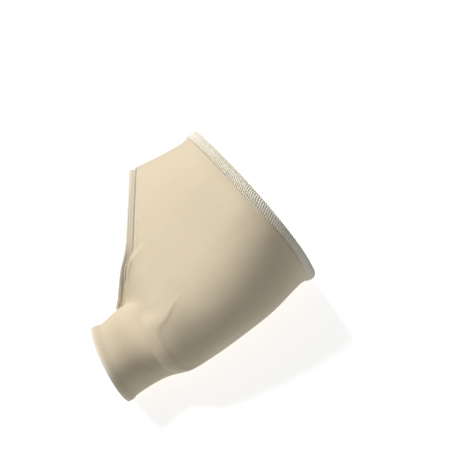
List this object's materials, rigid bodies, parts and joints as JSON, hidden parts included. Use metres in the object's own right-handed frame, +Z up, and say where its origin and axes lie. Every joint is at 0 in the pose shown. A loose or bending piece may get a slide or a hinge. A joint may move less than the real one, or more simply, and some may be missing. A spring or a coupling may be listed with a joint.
{
  "type": "big toe comfort pad",
  "caption": "Stretch knit forefoot sleeve with a toe tube, an open end for the other toes and an oval gel pad over the big toe joint, in its worn form.",
  "frame": {"origin": "on the inner face of the sole under the ball, where the wearer's ball rests", "axes": "+X to the big toe side, -Y ahead along the toes, +Y to the heel, +Z up"},
  "size_m": [0.1001, 0.0913, 0.0569],
  "materials": {
    "knit": "fine beige stretch knit, matt with a soft sheen",
    "overlock_thread": "cream overlock stitching in slanted threads, raised",
    "rolled_hem": "pale rolled hem with a row of small stitches",
    "gel": "soft translucent silicone gel, satin"
  },
  "bodies": {
    "root": {"sleeve": "knit", "instep_hem": "overlock_thread", "toe_line_hem": "rolled_hem", "gel_pad": "gel"}
  },
  "joints": []
}
